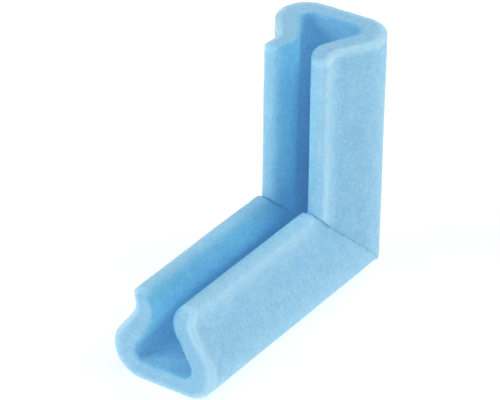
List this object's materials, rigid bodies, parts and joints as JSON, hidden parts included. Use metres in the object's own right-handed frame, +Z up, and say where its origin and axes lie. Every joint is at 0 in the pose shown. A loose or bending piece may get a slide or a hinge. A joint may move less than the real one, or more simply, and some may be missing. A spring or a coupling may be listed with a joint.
{
  "type": "foam corner protector",
  "caption": "L-shaped foam corner protector: mitred channel legs whose lips grip the edges of a panel at its corner.",
  "frame": {"origin": "under the middle of the object's box, on the plane that the horizontal leg rests on", "axes": "+Z up along the vertical leg, +Y from the horizontal leg's free end towards the outer corner, X across the channels"},
  "size_m": [0.053, 0.14, 0.125],
  "materials": {
    "foam": "matte",
    "weld_skin": "satin"
  },
  "bodies": {
    "root": {"horizontal_leg": "foam", "vertical_leg": "foam", "mitre_weld": "weld_skin"}
  },
  "joints": []
}
